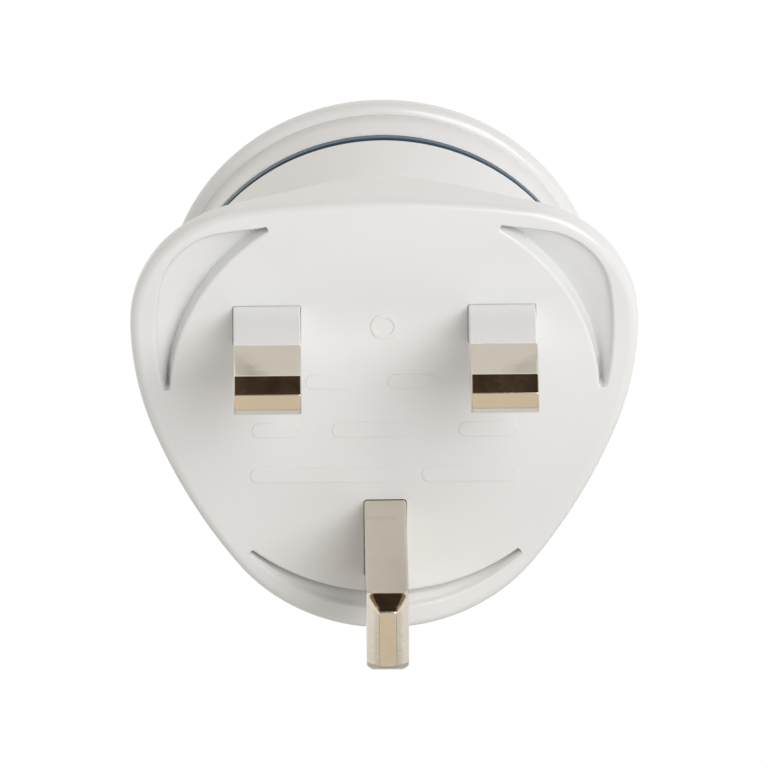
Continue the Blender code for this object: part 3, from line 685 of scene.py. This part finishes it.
def make_relief():
    """Plain raised bars in three rows, and a small ring above them: no lettering."""
    bars = [raised_bar(start, end, z) for z, spans in MARK_ROWS for start, end in spans]
    for i, bar in enumerate(bars):
        piece(f"face_mark_{i + 1}", bar, "shell_white", SHELL)
    soft = 0.5 * MARK_SOFT
    inner = RING_MARK_R - MARK_STROKE
    ring = [(RING_MARK_R, MARK_SINK), (RING_MARK_R, soft - MARK_RISE), (RING_MARK_R - soft, -MARK_RISE),
            (inner + soft, -MARK_RISE), (inner, soft - MARK_RISE), (inner, MARK_SINK)]
    piece("face_mark_ring", lathe(ring, (0, RING_MARK_Z), 64), "shell_white", SHELL)


# ---- rear housing, ring and socket -------------------------------------------------------------------

def make_housing():
    start, end = HOUSING_LOW.y, HOUSING_HIGH.y
    seam = RING_HIGH.y + GAP
    bead_y = end - BEAD_R
    meet = -acos((BARREL_R - BEAD_CENTRE_R) / BEAD_R)
    bead = [meet + (pi / 2 - meet) * i / 24 for i in range(25)]
    profile = rounded([(SKIRT_R, seam, 0), (BARREL_R, seam, SEAM_ROUND), (BARREL_R, seam + 1.5, 0)], 4)
    profile += [(BEAD_CENTRE_R + BEAD_R * cos(a), bead_y + BEAD_R * sin(a)) for a in bead]
    profile += rounded([(END_FLAT_R, end, 0), (RECESS_R, end, 0.4), (RECESS_R, SHELF_Y, 0),
                        (SKIRT_BORE_R, SHELF_Y, 0.2), (SKIRT_BORE_R, start, 0.2), (SKIRT_R, start, 0.4),
                        (SKIRT_R, SNAP_Y - SNAP_FLAT - SNAP_RAMP - 0.3, 0)], 4)
    profile += [(SKIRT_R, SNAP_Y - SNAP_FLAT - SNAP_RAMP), (SKIRT_R + SNAP_DEPTH, SNAP_Y - SNAP_FLAT)]
    profile += [(SKIRT_R + SNAP_DEPTH, SNAP_Y + SNAP_FLAT), (SKIRT_R, SNAP_Y + SNAP_FLAT + SNAP_RAMP)]
    piece("rear_shell", lathe(profile), "shell_white", SHELL, "rear_housing")

    low, high = RING_LOW.y, RING_HIGH.y
    ring = rounded([(BORE_R, low, 0), (RING_R - RING_CHAMFER, low, 0), (RING_R, low + RING_CHAMFER, 0.15),
                    (RING_R, high + GAP - FIT / 2, 0.05), (BORE_R, high + GAP - FIT / 2, 0)], 4)
    piece("accent_band", lathe(ring), "accent_blue", ACCENT, "accent_ring")


def make_socket():
    edge = rounded([(DISC_R, DISC_BACK_Y, 0), (DISC_R, DISC_HIGH.y, 0.35), (DISC_R - 1.2, DISC_HIGH.y, 0)], 5)
    disc = loft([[(x, y, z) for x, z in circle(0, 0, radius, LATHE_STEPS)] for radius, y in edge])
    blade_x, blade_z = BLADE_RADIUS * sin(BLADE_TURN), BLADE_RADIUS * cos(BLADE_TURN)
    slots = [rectangle(side * blade_x, blade_z, SLOT_WIDTH, SLOT_LENGTH, -side * BLADE_TILT)
             for side in (-1, 1)]
    slots.append(rectangle(0, -EARTH_BLADE_RADIUS, SLOT_WIDTH, SLOT_LENGTH))
    tools = [("UNION", prism(circle(side * SCREW_X, SCREW_Z, POST_R), DISC_LOW.y, DISC_BACK_Y + PAST))
             for side in (-1, 1)]
    tools += [("DIFFERENCE", prism(outline, DISC_BACK_Y - PAST, DISC_HIGH.y + PAST)) for outline in slots]
    tools += [("DIFFERENCE", prism(circle(side * SCREW_X, SCREW_Z, PILOT_R), DISC_LOW.y - PAST, SHELF_Y))
              for side in (-1, 1)]
    piece("socket_disc", disc, "shell_white", SHELL, "socket_face", tools=tools, bevel=0.22)


def make_spring():
    """The shutter's coil spring, at the length of its CAD node; in the adaptor it shortens against its post
    as the shutter slides.
    """
    middle = (SPRING_LOW + SPRING_HIGH) / 2
    coil_r = (SPRING_HIGH.z - SPRING_LOW.z) / 2 - SPRING_WIRE_R
    length = SPRING_HIGH.x - SPRING_LOW.x
    steps = SPRING_TURNS * TURN_STEPS
    rows = []
    for i in range(steps + 1):
        turn = 2 * pi * SPRING_TURNS * i / steps
        out = Vector((0, cos(turn), sin(turn)))
        along = (length - 2 * SPRING_WIRE_R) * (i / steps - 0.5)
        centre = middle + Vector((along, 0, 0)) + out * coil_r
        around = [2 * pi * k / WIRE_SIDES for k in range(WIRE_SIDES)]
        rows.append([centre + (out * cos(a) + Vector((sin(a), 0, 0))) * SPRING_WIRE_R for a in around])
    spring = piece("spring_wire", loft(rows), "zinc_steel", STEEL, "shutter_spring")
    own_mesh(spring)


def dress_inner_nodes():
    """The inner pieces keep their CAD shape, with finishes of their own."""
    finishes = {"contact_carrier": CARRIER, "shutter_cover": CARRIER, "shutter": IVORY}
    for name in ("line", "neutral", "earth"):
        finishes[f"{name}_contact"] = BRONZE
        finishes[f"{name}_rivet"] = STEEL
    for name in ("carrier", "cover"):
        for word in ("left", "right"):
            finishes[f"{name}_screw_{word}"] = STEEL
    for name, finish in finishes.items():
        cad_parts[name].data.materials.clear()
        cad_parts[name].data.materials.append(finish)


# ---- stage, in metres --------------------------------------------------------------------------------

FLOOR_Z, FLOOR_HALF = -0.15, 6.0
# The floor's colour near the object is painted shade, a soft grey shadow under and in front of it; far off
# the floor is plain white.
FLOOR_NEAR_Y, FLOOR_NEAR_R, FLOOR_FAR_R, FLOOR_NEAR_SQUASH = -0.12, 0.27, 0.36, 0.9
FLOOR_PAINTED_SHADE, FLOOR_FAR = (0.56, 0.535, 0.495), (1.02, 1.02, 1.02)
CARD = (0.82, 0.72, 0.58)
CARD_HALF, CARD_FOOT_Y, CARD_TOP_Y, CARD_TOP_Z = 0.12, -0.27, -0.29, -0.07
WALL_FRONT, WALL_BACK = (0.22, 0.23, 0.245), (1.15, 1.15, 1.15)
WALL_LEFT, WALL_RIGHT = (0.88, 0.84, 0.78), (0.78, 0.78, 0.78)
OPENING_X, OPENING_Y, OPENING_SHIFT = 1.0, 0.42, 0.1
OPENING_CORE, OPENING_RING = (0.035, 0.022, 0.014), (0.30, 0.19, 0.11)
FRONT_TO_BACK, MIDDLE_TO_LEFT, MIDDLE_TO_RIGHT = (-0.9, 0.2), (0.1, -0.9), (0.1, 0.9)
RING_EDGE, CORE_EDGE = (1.0, 0.88), (0.56, 0.46)
KEY_POWER = 2.5
KEY_DIRECTION = Vector((0.44, -0.74, 0.50)).normalized()
KEY_DISTANCE, KEY_WIDTH, KEY_HEIGHT = 0.6, 0.42, 0.38


def emission(name, colour):
    made = bpy.data.materials.new(name)
    made.use_nodes = True
    nodes = made.node_tree.nodes
    nodes.clear()
    glow = nodes.new("ShaderNodeEmission")
    glow.inputs["Color"].default_value = (*colour, 1)
    out = nodes.new("ShaderNodeOutputMaterial")
    made.node_tree.links.new(glow.outputs["Emission"], out.inputs["Surface"])
    return made


def add_stage(name, corners, finish):
    mesh = bpy.data.meshes.new(name)
    mesh.from_pydata(corners, [], [(0, 1, 2, 3)])
    mesh.materials.append(finish)
    obj = bpy.data.objects.new(name, mesh)
    bpy.context.collection.objects.link(obj)
    return obj


def floor_finish():
    """White, with painted shade: greyer under the object and in front of it, as a soft shadow round the
    object.
    """
    made = emission("floor_with_painted_shade", (1, 1, 1))
    nodes, links = made.node_tree.nodes, made.node_tree.links
    place = nodes.new("ShaderNodeTexCoord").outputs["Object"]
    flat = nodes.new("ShaderNodeVectorMath")
    flat.operation = "MULTIPLY_ADD"
    flat.inputs[1].default_value = (FLOOR_NEAR_SQUASH, 1, 0)
    flat.inputs[2].default_value = (0, -FLOOR_NEAR_Y, 0)
    links.new(place, flat.inputs[0])
    length = nodes.new("ShaderNodeVectorMath")
    length.operation = "LENGTH"
    links.new(flat.outputs["Vector"], length.inputs[0])
    away = nodes.new("ShaderNodeMapRange")
    away.interpolation_type = "SMOOTHSTEP"
    away.inputs["From Min"].default_value = FLOOR_NEAR_R
    away.inputs["From Max"].default_value = FLOOR_FAR_R
    links.new(length.outputs["Value"], away.inputs["Value"])
    mix = nodes.new("ShaderNodeMix")
    mix.data_type = "RGBA"
    # Painted shade near the object, plain white farther away.
    mix.inputs["A"].default_value = (*FLOOR_PAINTED_SHADE, 1)
    mix.inputs["B"].default_value = (*FLOOR_FAR, 1)
    links.new(away.outputs["Result"], mix.inputs["Factor"])
    links.new(mix.outputs["Result"], nodes["Emission"].inputs["Color"])
    return made


def make_stage():
    """A pale floor, and a low warm card in front that the camera doesn't see and the pins' ends mirror."""
    floor = [(x * FLOOR_HALF, y * FLOOR_HALF, FLOOR_Z) for x, y in ((-1, -1), (1, -1), (1, 1), (-1, 1))]
    add_stage("floor", floor, floor_finish())
    card = add_stage("warm_card", [(-CARD_HALF, CARD_FOOT_Y, FLOOR_Z), (CARD_HALF, CARD_FOOT_Y, FLOOR_Z),
                                   (CARD_HALF, CARD_TOP_Y, CARD_TOP_Z), (-CARD_HALF, CARD_TOP_Y, CARD_TOP_Z)],
                     emission("card_warm", CARD))
    card.visible_camera = False


def make_world():
    """White surroundings, darker in front and warmer to the left, with a dark opening overhead."""
    world = bpy.data.worlds.new("studio")
    bpy.context.scene.world = world
    world.use_nodes = True
    tree = world.node_tree
    tree.nodes.clear()

    def node(kind, **settings):
        made = tree.nodes.new(kind)
        for name, value in settings.items():
            setattr(made, name, value)
        return made

    def ranged(value, start, end, kind="SMOOTHSTEP"):
        made = node("ShaderNodeMapRange", interpolation_type=kind)
        made.inputs["From Min"].default_value = start
        made.inputs["From Max"].default_value = end
        tree.links.new(value, made.inputs["Value"])
        return made.outputs["Result"]

    def mixed(factor, first, second, blend="MIX"):
        """first and second are colours or outputs."""
        made = node("ShaderNodeMix", data_type="RGBA", blend_type=blend)
        if isinstance(factor, float):
            made.inputs["Factor"].default_value = factor
        else:
            tree.links.new(factor, made.inputs["Factor"])
        for socket, value in (("A", first), ("B", second)):
            if isinstance(value, tuple):
                made.inputs[socket].default_value = (*value, 1)
            else:
                tree.links.new(value, made.inputs[socket])
        return made.outputs["Result"]

    direction = node("ShaderNodeTexCoord").outputs["Generated"]
    parts = node("ShaderNodeSeparateXYZ")
    tree.links.new(direction, parts.inputs[0])
    walls = mixed(ranged(parts.outputs["Y"], *FRONT_TO_BACK), WALL_FRONT, WALL_BACK)
    left = mixed(ranged(parts.outputs["X"], *MIDDLE_TO_LEFT), (1, 1, 1), WALL_LEFT)
    right = mixed(ranged(parts.outputs["X"], *MIDDLE_TO_RIGHT), (1, 1, 1), WALL_RIGHT)
    warmed = mixed(1.0, mixed(1.0, walls, left, "MULTIPLY"), right, "MULTIPLY")

    shape = node("ShaderNodeVectorMath", operation="MULTIPLY_ADD")
    shape.inputs[1].default_value = (1 / OPENING_X, 1 / OPENING_Y, 0)
    shape.inputs[2].default_value = (0, -OPENING_SHIFT, 0)
    tree.links.new(direction, shape.inputs[0])
    spread = node("ShaderNodeVectorMath", operation="LENGTH")
    tree.links.new(shape.outputs["Vector"], spread.inputs[0])
    ringed = mixed(ranged(spread.outputs["Value"], *RING_EDGE), warmed, OPENING_RING)
    topped = mixed(ranged(spread.outputs["Value"], *CORE_EDGE), ringed, OPENING_CORE)

    lit = node("ShaderNodeBackground")
    tree.links.new(topped, lit.inputs["Color"])
    plain = node("ShaderNodeBackground")
    plain.inputs["Color"].default_value = (*FLOOR_FAR, 1)
    seen = node("ShaderNodeLightPath")
    choose = node("ShaderNodeMixShader")
    tree.links.new(seen.outputs["Is Camera Ray"], choose.inputs["Fac"])
    tree.links.new(lit.outputs["Background"], choose.inputs[1])
    tree.links.new(plain.outputs["Background"], choose.inputs[2])
    out = node("ShaderNodeOutputWorld")
    tree.links.new(choose.outputs["Shader"], out.inputs["Surface"])


def make_lights():
    data = bpy.data.lights.new("key", "AREA")
    data.shape = "RECTANGLE"
    data.size, data.size_y = KEY_WIDTH, KEY_HEIGHT
    data.energy = KEY_POWER
    key = bpy.data.objects.new("key", data)
    key.location = KEY_DIRECTION * KEY_DISTANCE
    key.rotation_euler = KEY_DIRECTION.to_track_quat("Z", "Y").to_euler()
    bpy.context.collection.objects.link(key)


def make_camera():
    elevation, azimuth, roll = radians(24.264), radians(-0.536), radians(-0.267)
    distance = 1.5
    target = Vector((-0.061, 0, 1.352)) * MM
    back = Vector((sin(azimuth) * cos(elevation), -cos(azimuth) * cos(elevation), sin(elevation)))
    data = bpy.data.cameras.new("camera")
    data.sensor_width = 36
    data.lens = 742.6
    data.clip_end = 20
    camera = bpy.data.objects.new("camera", data)
    turn = back.to_track_quat("Z", "Y").to_matrix() @ Matrix.Rotation(roll, 3, "Z")
    camera.matrix_world = Matrix.Translation(target + back * distance) @ turn.to_4x4()
    bpy.context.collection.objects.link(camera)
    bpy.context.scene.camera = camera
    bpy.context.scene.view_settings.view_transform = "Standard"


make_camera()
make_world()
make_lights()
make_stage()
make_base()
make_live_pins()
make_earth_pin()
make_relief()
make_housing()
make_socket()
make_spring()
dress_inner_nodes()
